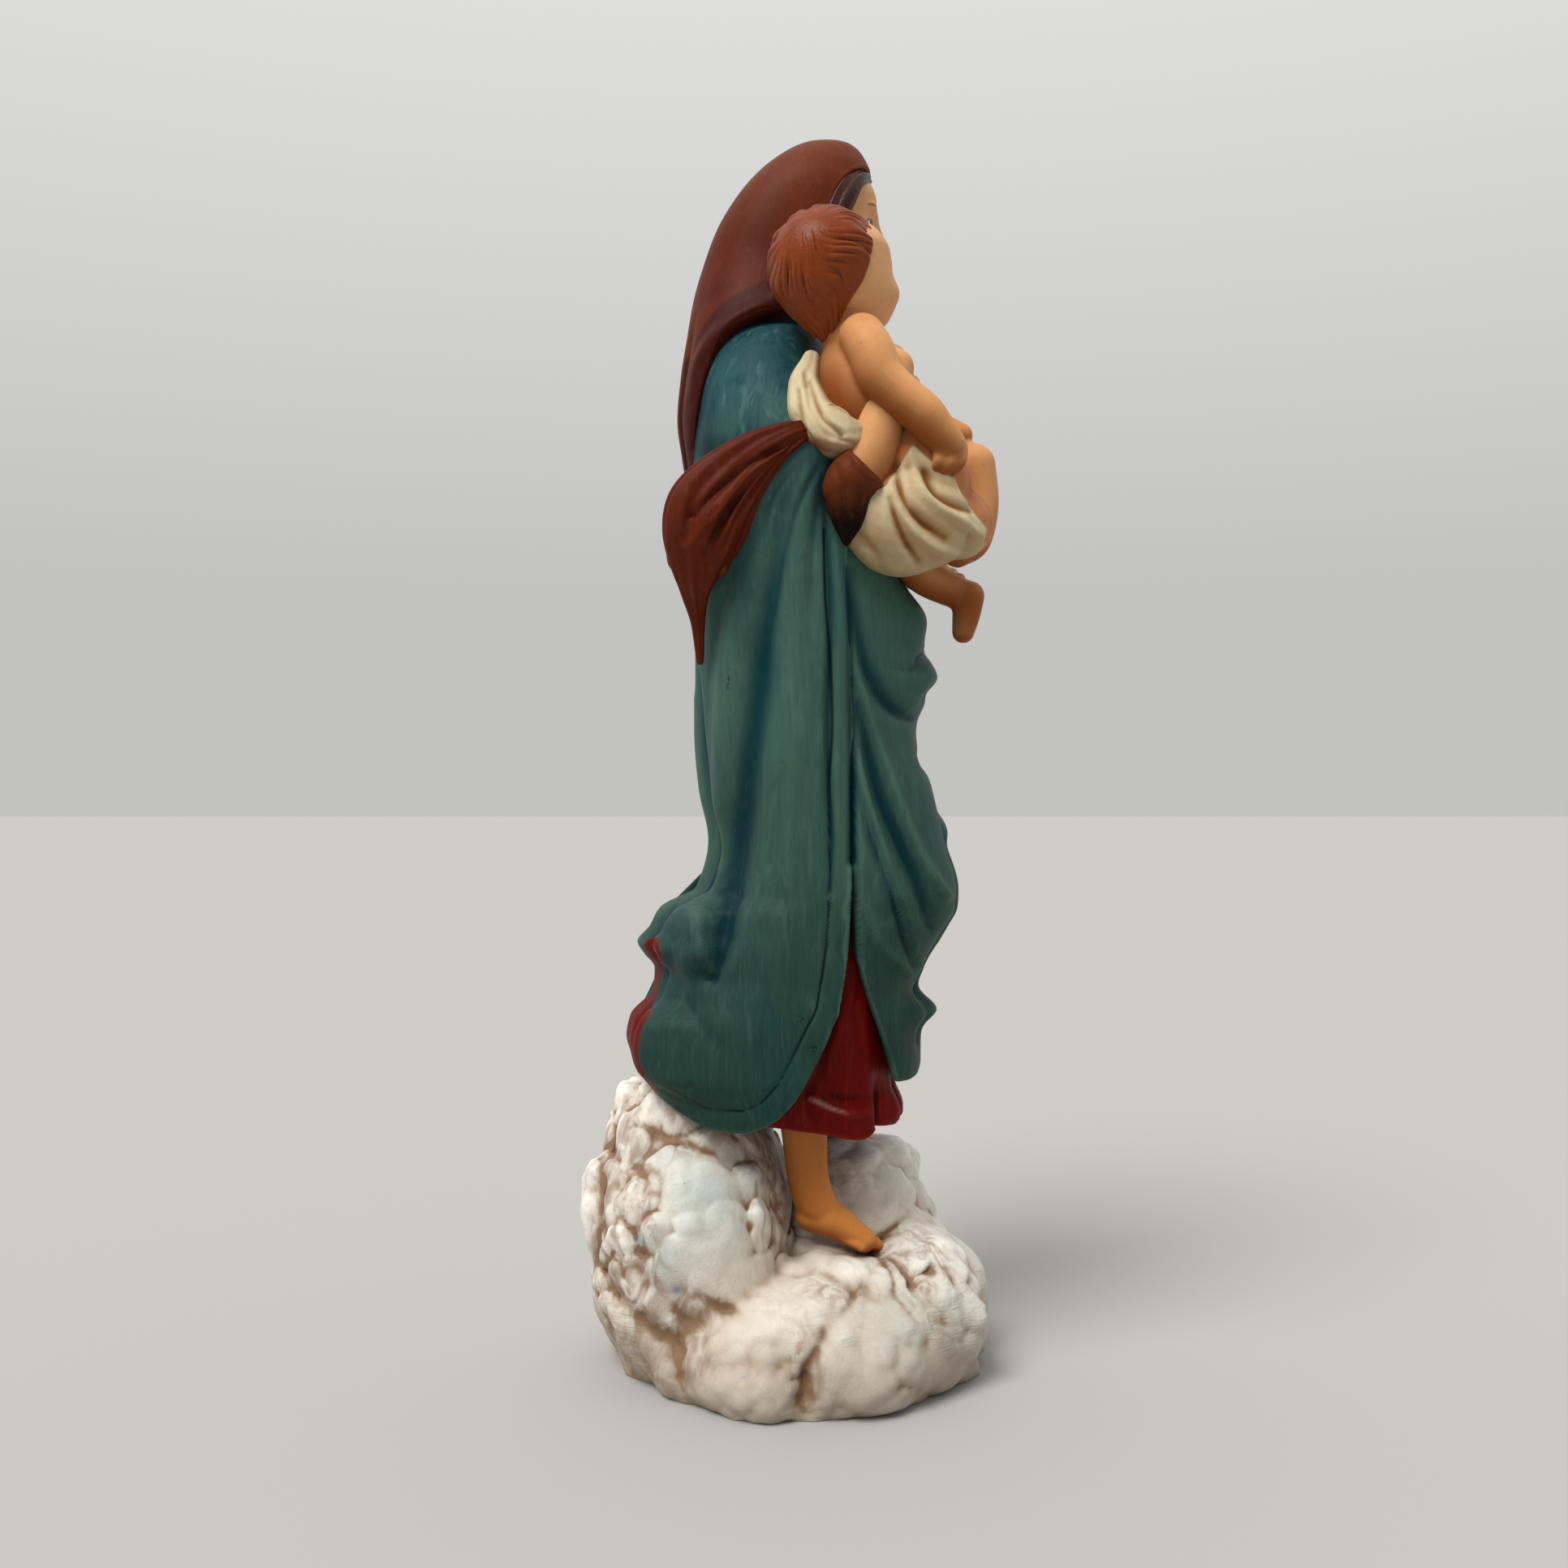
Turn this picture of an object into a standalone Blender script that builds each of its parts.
"""A painted porcelain figurine, cast in one piece: a veiled virgin who stands barefoot on a cloud with a
child on her right arm. The figure is drawn in millimetres at its real size, on three axes: fore is towards her
front, left towards her left hand, and up from the underside. Blender's axes are then X = left and Y = -fore.
"""

import math

import bmesh
import bpy
import numpy as np
from mathutils import Matrix, Vector, noise

# Driving sizes, in metres.
FIGURE_HEIGHT = 0.2513  # sole of the right foot to the top of the veil
CLOUD_LENGTH = 0.094  # front to back
CLOUD_WIDTH = 0.086  # side to side
CLOUD_HEIGHT = 0.066  # underside to the highest puff, behind her
CLOTH_EDGE = 0.0024  # how proud a cloth's edge stands of what it lies on
HEM_HOLLOW = 0.004  # how far the skirts are hollowed under their hems
BORDER_INSET = 0.0048  # mantle's edge to the line scored along it
PUFF_RADIUS = 0.0095  # a middling puff of the cloud

# The drawing's own marks, in millimetres: the sole and the veil's top, and the cloud's three sizes.
DRAWN_SOLE, DRAWN_TOP = 27.5, 278.8
DRAWN_CLOUD = (94.0, 86.0, 66.0)

# How finely the casting is made.
CASTING_VOXEL = 0.0012
CASTING_TRIANGLES = 9300
COLUMNS = 120
ROWS = 110

UNIT = FIGURE_HEIGHT / (DRAWN_TOP - DRAWN_SOLE)  # metres for each drawn millimetre of the figure
STANDING_HEIGHT = CLOUD_HEIGHT * DRAWN_SOLE / DRAWN_CLOUD[2]  # the sole rests on the cloud's shelf

# The right side is drawn as seen by an eye this far from the figure's axis and this high.
EYE_DISTANCE, EYE_HEIGHT = 362.0, 131.0


def clear_scene():
    for old in list(bpy.data.objects):
        bpy.data.objects.remove(old, do_unlink=True)


def new_collection(name):
    made = bpy.data.collections.new(name)
    bpy.context.scene.collection.children.link(made)
    return made


def figure_points(points):
    """Drawn (fore, left, up) millimetres of the figure as Blender's metres."""
    fore, left, up = np.moveaxis(np.asarray(points, float), -1, 0)
    return np.stack([left * UNIT, -fore * UNIT, STANDING_HEIGHT + (up - DRAWN_SOLE) * UNIT], -1)


def cloud_points(points):
    """Drawn (fore, left, up) millimetres of the cloud as Blender's metres."""
    fore, left, up = np.moveaxis(np.asarray(points, float), -1, 0)
    length, width, height = DRAWN_CLOUD
    return np.stack(
        [left * CLOUD_WIDTH / width, -fore * CLOUD_LENGTH / length, up * CLOUD_HEIGHT / height], -1
    )


# Curves and folds


def flow(at, knots, values):
    """Reads a table between its knots on a smooth curve that never overshoots."""
    knots, values = np.asarray(knots, float), np.asarray(values, float)
    step = np.diff(knots)
    rise = np.diff(values, axis=0) / step[:, None]
    before, after = rise[:-1], rise[1:]
    total = np.where(before * after > 0, before + after, 1.0)
    slope = np.concatenate([rise[:1], np.where(before * after > 0, 2 * before * after / total, 0.0),
                            rise[-1:]])
    at = np.asarray(at, float)
    place = np.clip(np.searchsorted(knots, at) - 1, 0, len(step) - 1)
    span = step[place][..., None]
    t = np.clip((at - knots[place]) / step[place], 0, 1)[..., None]
    return (
        (2 * t**3 - 3 * t**2 + 1) * values[place]
        + (t**3 - 2 * t**2 + t) * span * slope[place]
        + (3 * t**2 - 2 * t**3) * values[place + 1]
        + (t**3 - t**2) * span * slope[place + 1]
    )


def table_flow(at, table):
    table = np.asarray(table, float)
    return flow(at, table[:, 0], table[:, 1:])


def ramp(value, low, high):
    t = np.clip((value - low) / (high - low), 0, 1)
    return t * t * (3 - 2 * t)


def elevation(fore, left, up, side):
    """A point's place on the drawing of one side: across and up."""
    if side == "right":
        nearer = EYE_DISTANCE / (EYE_DISTANCE + left)
        return fore * nearer, EYE_HEIGHT + (up - EYE_HEIGHT) * nearer
    if side == "left":
        return fore, up
    return left, up


def facing(fore_way, left_way, side):
    """How squarely a surface that looks that way faces one side, from 0 to 1."""
    square = {"right": -left_way, "left": left_way, "front": fore_way, "back": -fore_way}[side]
    return ramp(square, 0.0, 0.5)


def crease(across, up, stations, lap=0.0):
    """The rise of one fold, drawn through stations of (across, up, width, rise). With lap, the cloth on the
    fold's left stands proud and sinks back over that distance."""
    stations = np.asarray(stations, float)
    steps = 6 * (len(stations) - 1) + 1
    line = flow(np.linspace(0, 1, steps), np.linspace(0, 1, len(stations)), stations)
    nearest = np.full(across.shape, np.inf)
    rise = np.zeros(across.shape)
    for start, end in zip(line[:-1], line[1:]):
        run = end[:2] - start[:2]
        t = np.clip(((across - start[0]) * run[0] + (up - start[1]) * run[1]) / (run @ run + 1e-9), 0, 1)
        aside, above = across - start[0] - t * run[0], up - start[1] - t * run[1]
        gap = np.hypot(aside, above)
        width = start[2] + t * (end[2] - start[2])
        height = start[3] + t * (end[3] - start[3])
        if lap:
            signed = gap * np.sign(run[0] * above - run[1] * aside)
            sunk_back = np.exp(-((np.maximum(signed, 0) / lap) ** 2))
            made = height * (0.5 + 0.5 * np.tanh(signed / width)) * sunk_back
        else:
            made = height * np.exp(-((gap / width) ** 2))
        rise = np.where(gap < nearest, made, rise)
        nearest = np.minimum(gap, nearest)
    return rise


def swell(fore, left, up, at):
    """The rise of one rounded swelling: its centre, its three reaches and its height."""
    fore_at, left_at, up_at, fore_reach, left_reach, up_reach, height = at
    away = ((fore - fore_at) / fore_reach) ** 2 + ((left - left_at) / left_reach) ** 2
    return height * np.exp(-away - ((up - up_at) / up_reach) ** 2)


def carved(fore, left, up, fore_way, left_way, folds=(), swells=()):
    """How far the carving lifts each point of a surface."""
    rise = np.zeros(fore.shape)
    for side, stations, *lap in folds:
        across, height = elevation(fore, left, up, side)
        rise += crease(across, height, stations, *lap) * facing(fore_way, left_way, side)
    for at in swells:
        rise += swell(fore, left, up, at)
    return rise


# Solids


def skin(name, rings, place, collection):
    """A closed mesh over rings of drawn points, an array of (rings, points, 3), with a fan at each end."""
    rows, columns = rings.shape[:2]
    ends = np.stack([rings[0].mean(0), rings[-1].mean(0)])
    points = place(np.concatenate([rings.reshape(-1, 3), ends]))
    here = np.arange(columns)
    after = np.roll(here, -1)
    faces = []
    for row in range(rows - 1):
        low, high = row * columns, (row + 1) * columns
        faces += np.stack([low + here, low + after, high + after, high + here], 1).tolist()
    first, last = rows * columns, rows * columns + 1
    top = (rows - 1) * columns
    faces += [(b, a, first) for a, b in zip(here.tolist(), after.tolist())]
    faces += [(top + a, top + b, last) for a, b in zip(here.tolist(), after.tolist())]
    mesh = bpy.data.meshes.new(name)
    mesh.from_pydata(points.tolist(), [], faces)
    return added(name, mesh, collection)


def added(name, mesh, collection):
    """Puts a mesh in the scene with its faces pointing out."""
    work = bmesh.new()
    work.from_mesh(mesh)
    bmesh.ops.recalc_face_normals(work, faces=work.faces)
    if work.calc_volume(signed=True) < 0:
        bmesh.ops.reverse_faces(work, faces=work.faces)
    work.to_mesh(mesh)
    work.free()
    made = bpy.data.objects.new(name, mesh)
    collection.objects.link(made)
    return made


def draped(name, profile, collection, power=2.3, hem=None, folds=(), swells=(),
           cut=None, rows=ROWS, columns=COLUMNS):
    """A cloth-covered body on level sections. profile rows hold (up, back, front, right, left). hem gives the
    lowest level for each angle, and cut the depth to which a point is sunk under what it lies on."""
    angle = np.linspace(0, 2 * math.pi, columns, endpoint=False)
    along, beside = np.cos(angle), np.sin(angle)
    top = profile[-1][0]
    low = np.full(columns, float(profile[0][0])) if hem is None else hem(angle)
    share = np.linspace(0, 1, rows)[:, None]
    up = low + share * (top - low)
    back, front, right, left = np.moveaxis(table_flow(up, profile), -1, 0)
    squareness = 2 / power
    fore_way, left_way = along * np.ones_like(up), -beside * np.ones_like(up)
    fore = (front + back) / 2 + (front - back) / 2 * np.sign(along) * abs(along) ** squareness
    side = (left + right) / 2 + (left - right) / 2 * -np.sign(beside) * abs(beside) ** squareness
    rise = carved(fore, side, up, fore_way, left_way, folds, swells)
    if cut is not None:
        rise = rise - cut(fore, side, up)
    middle_fore, middle_side = (front + back) / 2, (left + right) / 2
    reach = np.hypot(fore - middle_fore, side - middle_side) + 1e-6
    grow = np.maximum(1 + rise / reach, 0.05)
    rings = np.stack([middle_fore + (fore - middle_fore) * grow, middle_side + (side - middle_side) * grow,
                      up], -1)
    if hem is not None:
        rings = np.concatenate([hollowed(rings[0]), rings])
    return skin(name, rings, figure_points, collection)


def hollowed(hem_ring):
    """Two rings that turn a hem's edge under and a little up, so that it casts a shadow."""
    edge, hollow = CLOTH_EDGE / UNIT, HEM_HOLLOW / UNIT
    middle = hem_ring.mean(0)
    out = hem_ring[:, :2] - middle[:2]
    out /= np.linalg.norm(out, axis=1, keepdims=True)
    under, inside = hem_ring.copy(), hem_ring.copy()
    under[:, :2] -= out * edge
    inside[:, :2] -= out * edge * 1.5
    inside[:, 2] += hollow
    return np.stack([inside, under])


def limb(name, stations, collection, flat=1.0, place=figure_points, columns=20, flutes=0, flute_depth=0.0,
         power=2.0):
    """A round-ended limb or roll of cloth through stations of (fore, left, up, radius). flat squeezes it
    sideways, flutes are ridges that run along it, and a power above 2 squares its section."""
    stations = np.asarray(stations, float)
    steps = 7 * (len(stations) - 1) + 1
    line = flow(np.linspace(0, 1, steps), np.linspace(0, 1, len(stations)), stations)
    ahead = np.gradient(line[:, :3], axis=0)
    ahead /= np.linalg.norm(ahead, axis=1, keepdims=True)
    caps = np.linspace(0, math.pi / 2, 6)[1:-1]
    centres = [line[0, :3] - ahead[0] * line[0, 3] * math.sin(c) for c in caps[::-1]]
    radii = [line[0, 3] * math.cos(c) for c in caps[::-1]]
    ways = [ahead[0]] * len(caps)
    centres += list(line[:, :3])
    radii += list(line[:, 3])
    ways += list(ahead)
    centres += [line[-1, :3] + ahead[-1] * line[-1, 3] * math.sin(c) for c in caps]
    radii += [line[-1, 3] * math.cos(c) for c in caps]
    ways += [ahead[-1]] * len(caps)
    turn = np.linspace(0, 2 * math.pi, columns, endpoint=False)
    rings = []
    level = np.array((0.0, 1.0, 0.0))
    square = (np.abs(np.cos(turn)) ** power + np.abs(np.sin(turn)) ** power) ** (-1 / power)
    for centre, radius, way in zip(centres, radii, ways):
        aside = level - way * (level @ way)
        aside /= np.linalg.norm(aside)
        above = np.cross(way, aside)
        reach = radius * (1 + flute_depth * np.cos(flutes * turn)) * square
        rings.append(
            centre + np.outer(np.cos(turn) * reach * flat, aside) + np.outer(np.sin(turn) * reach, above)
        )
    return skin(name, np.array(rings), place, collection)


def ball(name, centre, radii, collection, lean=0.0, yaw=0.0, place=figure_points, rounds=24):
    """An ellipsoid with its centre and three half-sizes drawn as (fore, left, up). lean tips its top forward,
    and yaw turns its front to her left, both in degrees."""
    work = bmesh.new()
    bmesh.ops.create_uvsphere(work, u_segments=rounds, v_segments=rounds * 2 // 3, radius=1.0)
    turn = Matrix.Rotation(math.radians(yaw), 3, "Z") @ Matrix.Rotation(math.radians(lean), 3, "Y")
    turn = np.array(turn @ Matrix.Diagonal(radii))
    points = np.array([v.co for v in work.verts]) @ turn.T + np.array(centre)
    for vertex, point in zip(work.verts, place(points)):
        vertex.co = point
    mesh = bpy.data.meshes.new(name)
    work.to_mesh(mesh)
    work.free()
    return added(name, mesh, collection)


# The mantle and the dress beneath it

MANTLE_PROFILE = (
    (52, -27.2, 26.0, -28.5, 27.0),
    (60.5, -27.8, 28.5, -30.5, 29.0),
    (64.6, -30.8, 29.5, -31.5, 29.5),
    (68.5, -34.3, 30.5, -32.0, 30.0),
    (73.2, -35.2, 30.5, -32.0, 30.0),
    (78.3, -34.1, 30.5, -32.0, 30.0),
    (84.6, -28.6, 29.5, -31.5, 30.0),
    (89.1, -28.2, 31.0, -31.0, 30.0),
    (92.2, -30.5, 32.5, -31.0, 30.0),
    (95.0, -32.0, 34.2, -31.0, 30.0),
    (98.8, -28.6, 36.3, -31.0, 30.0),
    (103.0, -26.4, 38.5, -31.0, 30.0),
    (107.5, -18.6, 38.8, -31.0, 30.0),
    (118, -16.0, 36.2, -30.0, 30.0),
    (130, -18.4, 33.2, -29.5, 30.0),
    (143, -19.9, 29.5, -29.5, 30.5),
    (156, -20.3, 31.0, -30.0, 31.0),
    (168, -20.2, 29.0, -31.0, 31.0),
    (180, -20.5, 25.0, -32.0, 31.0),
    (192, -21.4, 19.0, -32.0, 31.5),
    (205, -21.4, 16.0, -31.0, 30.5),
    (216, -20.6, 14.0, -28.5, 28.5),
    (225, -18.5, 11.0, -24.0, 24.0),
    (231, -15.0, 8.0, -18.0, 18.0),
    (236, -8.0, 6.0, -9.0, 9.0),
)

# The mantle's lower edge on each side, as fore against up: a long lobe on her right, open in front of it up to
# a slit.
RIGHT_HEM = (
    (-40, 62), (-31, 62), (-27.5, 62.5), (-22, 59.5), (-16, 57.2), (-10, 57), (-4, 59), (1, 63.6), (5.3, 71),
    (8.0, 76.5), (10.4, 82), (11.6, 87), (12.5, 92.7), (13.2, 100), (13.8, 112), (14.4, 104), (15.2, 95),
    (17.6, 86), (20.6, 78), (22.8, 72), (24.4, 66.6), (28, 66), (40, 70),
)
SLIT = (13.8, 112)
LEFT_HEM = (
    (-40, 62), (-30, 60), (-22, 57), (-12, 60), (-2, 66), (8, 60), (16, 57), (24, 62), (30, 68), (40, 70),
)

MANTLE_FOLDS = (
    # Her right side: long troughs that fan out from the forearm.
    ("right", ((2.8, 204, 1.0, -0.3), (-1, 192, 1.6, -0.9), (-3.8, 175, 2.6, -1.8), (-6, 156, 4.0, -2.6),
               (-9, 134, 4.2, -2.8), (-11, 115, 4.0, -3.0), (-13.6, 102, 3.4, -2.8), (-16.0, 92, 2.8, -2.6),
               (-17.2, 86.5, 2.0, -1.8))),
    ("right", ((-12, 181, 1.6, -0.6), (-16, 168, 2.2, -1.4), (-18.2, 152, 2.4, -1.3), (-18.6, 134, 2.4, -1.0),
               (-17.6, 121, 2.0, -0.4))),
    ("right", ((7.9, 197, 0.9, -0.6), (9.6, 183, 1.0, -1.5), (10.1, 169, 1.1, -1.7), (9.6, 152, 1.1, -1.7),
               (9.4, 134, 1.0, -1.5), (10.3, 117, 0.9, -1.1), (10.3, 106, 0.7, -0.7))),
    ("right", ((13.5, 181, 0.7, -0.7), (14.4, 169, 0.8, -1.4), (14.6, 152, 0.8, -1.6), (14.8, 134, 0.8, -1.9),
               (14.8, 113, 0.9, -2.2))),
    ("right", ((5.6, 203, 0.7, -0.4), (2.8, 196, 0.8, -0.8), (-0.4, 184.5, 0.9, -0.8),
               (-2.8, 169.5, 0.8, -0.3))),
    ("right", ((0.7, 202.5, 0.7, -0.5), (-3.6, 196.5, 0.8, -0.8), (-5.4, 188.5, 0.8, -0.4))),
    ("right", ((7.5, 201, 1.0, -0.3), (6.2, 190, 1.4, -0.7), (5.6, 177, 1.4, -0.5), (5.2, 162, 1.2, -0.1))),
    ("right", ((2.6, 178, 3.0, 0.5), (2.4, 150, 4.2, 1.0), (1.6, 120, 4.6, 1.1), (-1.5, 92, 5.0, 1.0),
               (-4.5, 74, 5.0, 0.4))),
    ("right", ((-12.8, 172, 2.0, 0.4), (-14.4, 150, 2.4, 0.9), (-15, 128, 2.4, 1.0), (-16.4, 112, 2.0, 0.8))),
    ("right", ((14.6, 181, 1.4, -0.8), (16, 169.5, 1.9, -1.9), (19.2, 156.5, 2.4, -2.3),
               (23.8, 149.4, 2.2, -2.2),
               (28.4, 146.4, 1.6, -1.6))),
    ("right", ((15.4, 155, 1.2, -0.5), (18, 143.5, 1.8, -1.6), (21.8, 128.5, 2.1, -2.2),
               (26.6, 117, 2.1, -2.4),
               (31, 107, 1.9, -2.2), (33.2, 98.5, 1.6, -1.4))),
    ("right", ((15.4, 162, 0.9, 0.4), (19.6, 145.2, 0.9, 1.1), (24.4, 131, 0.9, 1.5), (31, 114.3, 0.9, 1.7),
               (36.4, 105.2, 1.1, 1.2))),
    ("right", ((16, 132, 1.0, -0.5), (19.6, 119, 1.2, -1.2), (24.4, 106, 1.4, -1.5), (27.2, 96.5, 1.3, -1.8),
               (29.4, 86.3, 1.2, -1.4))),
    ("right", ((15, 143.3, 0.9, 0.3), (18.4, 128.4, 1.0, 0.9), (22.8, 113.4, 1.0, 1.1),
               (27.2, 100.3, 1.0, 1.2),
               (29.4, 89, 1.0, 0.8))),
    ("right", ((17.0, 106, 0.6, 0.0), (18.4, 99, 0.6, 0.8), (20.6, 92.6, 0.6, 1.4), (24.2, 89.2, 0.6, 1.6),
               (29.4, 85, 0.6, 1.6), (34.4, 81, 0.6, 1.0)), 4.5),
    ("right", ((32, 162.4, 0.8, -1.6), (29.6, 160, 0.9, -1.5), (27.8, 157.2, 0.9, -1.0),
               (24, 158, 0.9, -0.3))),
    ("right", ((-25.2, 100, 2.2, -1.0), (-26.4, 91, 2.6, -1.8), (-24.8, 81.6, 2.4, -1.0))),
    ("right", ((-23.2, 84.6, 1.4, -0.6), (-21.6, 78.8, 1.8, -1.1), (-18.2, 73, 2.0, -0.9),
               (-13.2, 68.4, 2.0, -0.3))),
    ("right", ((-18.2, 117, 1.4, 0.5), (-19.4, 105.6, 1.6, 1.2), (-19.2, 96.4, 1.6, 1.5),
               (-17.4, 88, 1.4, 0.9))),
    ("right", ((-29.6, 94.6, 0.5, 0.8), (-29, 89, 0.6, 1.6), (-29.6, 84.5, 0.6, 1.9), (-31.9, 77.8, 0.6, 2.0),
               (-33.9, 73.1, 0.6, 2.0), (-34.3, 68.4, 0.6, 2.0), (-32.8, 63.7, 0.6, 2.0),
               (-30.2, 60.3, 0.6, 1.8)), 8.0),
    # Her front: swags that hang from the left forearm, and the mantle's edge down its middle.
    ("front", ((22, 172, 1.6, -0.6), (12, 160, 2.4, -1.8), (0, 153, 2.6, -2.2), (-12, 151, 2.0, -1.4))),
    ("front", ((24, 158, 1.6, -0.6), (13, 144, 2.4, -1.9), (2, 137, 2.6, -2.0), (-10, 136, 2.0, -0.9))),
    ("front", ((23, 144, 1.8, 0.6), (14, 131, 2.4, 1.6), (4, 122, 2.4, 1.6), (-6, 119, 2.0, 0.6))),
    ("front", ((20, 134, 1.8, -0.6), (15, 112, 2.4, -2.2), (12, 92, 2.4, -2.2), (11, 72, 2.0, -1.4))),
    ("front", ((8, 128, 1.8, -0.5), (4, 108, 2.4, -2.0), (2, 88, 2.4, -2.0), (2, 70, 2.0, -1.2))),
    ("front", ((-4, 128, 1.8, -0.5), (-8, 110, 2.2, -1.7), (-10, 92, 2.2, -1.7), (-11, 74, 2.0, -1.0))),
    # Her left side: the mantle falls from the forearm in four long tubes.
    ("left", ((14, 184, 1.6, -0.6), (10, 158, 2.4, -1.9), (6, 128, 2.6, -2.4), (2, 98, 2.6, -2.4),
              (-1, 72, 2.2, -1.6))),
    ("left", ((4, 190, 1.6, -0.6), (-3, 164, 2.4, -1.8), (-8, 132, 2.6, -2.4), (-12, 100, 2.6, -2.6),
              (-16, 70, 2.2, -1.6))),
    ("left", ((20, 172, 1.8, -0.6), (19, 142, 2.2, -1.9), (17, 112, 2.4, -2.1), (15, 78, 2.0, -1.4))),
    ("left", ((-8, 186, 1.6, -0.4), (-15, 156, 2.2, -1.5), (-19, 126, 2.2, -1.6), (-22, 96, 2.2, -1.6),
              (-25, 72, 2.0, -1.0))),
    # Her back: the cloth hangs from the shoulders and is blown out behind the knees.
    ("back", ((-6, 168, 1.8, -0.5), (-8, 142, 2.6, -1.9), (-9, 116, 2.8, -2.2), (-12, 90, 2.8, -2.0),
              (-15, 66, 2.2, -1.2))),
    ("back", ((5, 172, 1.8, -0.5), (6, 144, 2.6, -1.9), (8, 116, 2.8, -2.2), (9, 90, 2.8, -2.0),
              (12, 66, 2.2, -1.2))),
    ("back", ((17, 168, 1.8, -0.4), (19, 140, 2.4, -1.6), (21, 112, 2.4, -1.8), (23, 84, 2.2, -1.2))),
    ("back", ((-1, 150, 2.4, 0.4), (-1, 124, 3.2, 1.3), (-2, 98, 3.4, 1.5), (-3, 74, 3.0, 0.8))),
)

MANTLE_SWELLS = (
    (4, -30, 200, 9, 8, 14, 4.5),  # cloth gathered over the right forearm
    (27, -12, 168, 7, 12, 5.5, 3.4),  # rolls of cloth under the child
    (28, -8, 154, 7, 14, 5.5, 4.4),
    (31, -8, 80.5, 5, 9, 3.2, 4.2),  # the turned corner in front
    (31, -4, 104, 8, 14, 9, 1.2),  # the bent knee
    (-24, -14, 100, 9, 12, 3.5, 1.6),  # cloth blown out behind
)

DRESS_PROFILE = (
    (50, -16.0, 23.5, -20.0, 19.0),
    (53, -18.0, 26.0, -22.5, 21.0),
    (58, -19.0, 26.5, -24.5, 22.0),
    (64, -20.0, 24.5, -25.5, 22.5),
    (76, -19.0, 24.0, -27.0, 23.5),
    (96, -17.0, 26.0, -27.5, 24.0),
    (116, -14.0, 26.0, -25.0, 22.0),
)
DRESS_FOLDS = (
    ("right", ((15.7, 90, 1.0, 0.2), (14.4, 82, 1.6, 0.8), (12.2, 75.9, 1.8, 0.9), (10.5, 70, 1.6, 0.4))),
    ("right", ((11.6, 82, 0.8, -0.2), (9.4, 72, 1.2, -0.9), (7, 64, 1.3, -0.8), (3, 58, 1.0, -0.2))),
    ("right", ((17.2, 84, 1.6, 0.3), (17.8, 74, 2.2, 1.0), (18, 66, 2.2, 0.9), (17.6, 61, 1.6, 0.2))),
    ("right", ((3.6, 57.6, 0.7, 0.1), (6.6, 58.6, 0.9, 0.7), (10.1, 56.2, 1.0, 1.0), (14.8, 54.9, 1.0, 1.1),
               (19.6, 55.2, 0.8, 0.3))),
    ("right", ((5.6, 61.6, 0.9, -0.2), (9.5, 59.8, 1.1, -0.6), (14, 58.4, 1.1, -0.7),
               (18.6, 58.8, 0.9, -0.2))),
    ("right", ((20.4, 63, 0.8, -0.2), (21.2, 58, 0.9, -1.5), (21.6, 52, 0.9, -2.0))),
    ("right", ((24.0, 72, 0.9, 0.3), (24.6, 62, 1.2, 0.9), (25.4, 54, 1.3, 1.0))),
    ("front", ((-8, 96, 1.4, -0.5), (-9, 74, 1.8, -1.7), (-10, 53, 1.8, -2.0))),
    ("front", ((1, 96, 1.4, -0.5), (2, 74, 1.8, -1.8), (2, 53, 1.8, -2.2))),
    ("front", ((10, 96, 1.4, -0.5), (12, 74, 1.8, -1.7), (13, 53, 1.8, -2.0))),
    ("left", ((12, 80, 1.4, -0.5), (11, 66, 1.8, -1.6), (10, 52, 1.8, -1.8))),
    ("left", ((-4, 80, 1.4, -0.5), (-5, 66, 1.8, -1.6), (-6, 52, 1.8, -1.8))),
    ("back", ((0, 80, 1.4, -0.5), (0, 66, 1.8, -1.6), (0, 52, 1.8, -1.8))),
)


def mantle_fore(angle, up):
    """How far fore the mantle's plain surface stands at each angle and level."""
    back, front = np.moveaxis(table_flow(up, MANTLE_PROFILE)[..., :2], -1, 0)
    along = np.cos(angle)
    return (front + back) / 2 + (front - back) / 2 * np.sign(along) * abs(along) ** (2 / 2.3)


def hem_level(angle):
    """The mantle's lower edge at each angle round her: where the cloth there first meets the hem's line behind
    the slit, and where it last does in front of it."""
    levels = np.linspace(50, 125, 376)[:, None]
    fore = mantle_fore(angle, levels)
    right, left = table_flow(fore, RIGHT_HEM)[..., 0], table_flow(fore, LEFT_HEM)[..., 0]
    below = np.where(np.sin(angle) >= 0, right, left) > levels
    first = np.argmax(~below, axis=0)
    last = len(levels) - np.argmax(below[::-1], axis=0)
    behind_slit = mantle_fore(angle, SLIT[1] + 0 * angle) < SLIT[0]
    return levels[np.where(behind_slit, first, last), 0]


DRESS_HEM = ((-19, 57), (-9.4, 57.4), (-2.3, 56.9), (5.5, 55.6), (15.3, 53.5), (19.2, 56.0), (24.1, 55.4),
             (26, 58.2))


def dress_hem(angle):
    """The dress's lower edge: drawn on her right, and gently waved on her left."""
    fore = 3 + 22.5 * np.cos(angle)
    near_side = ramp(np.sin(angle), -0.3, 0.2)
    far_side = 51.5 + 1.2 * np.cos(5 * angle + 0.6)
    return near_side * table_flow(fore, DRESS_HEM)[..., 0] + (1 - near_side) * far_side


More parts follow.
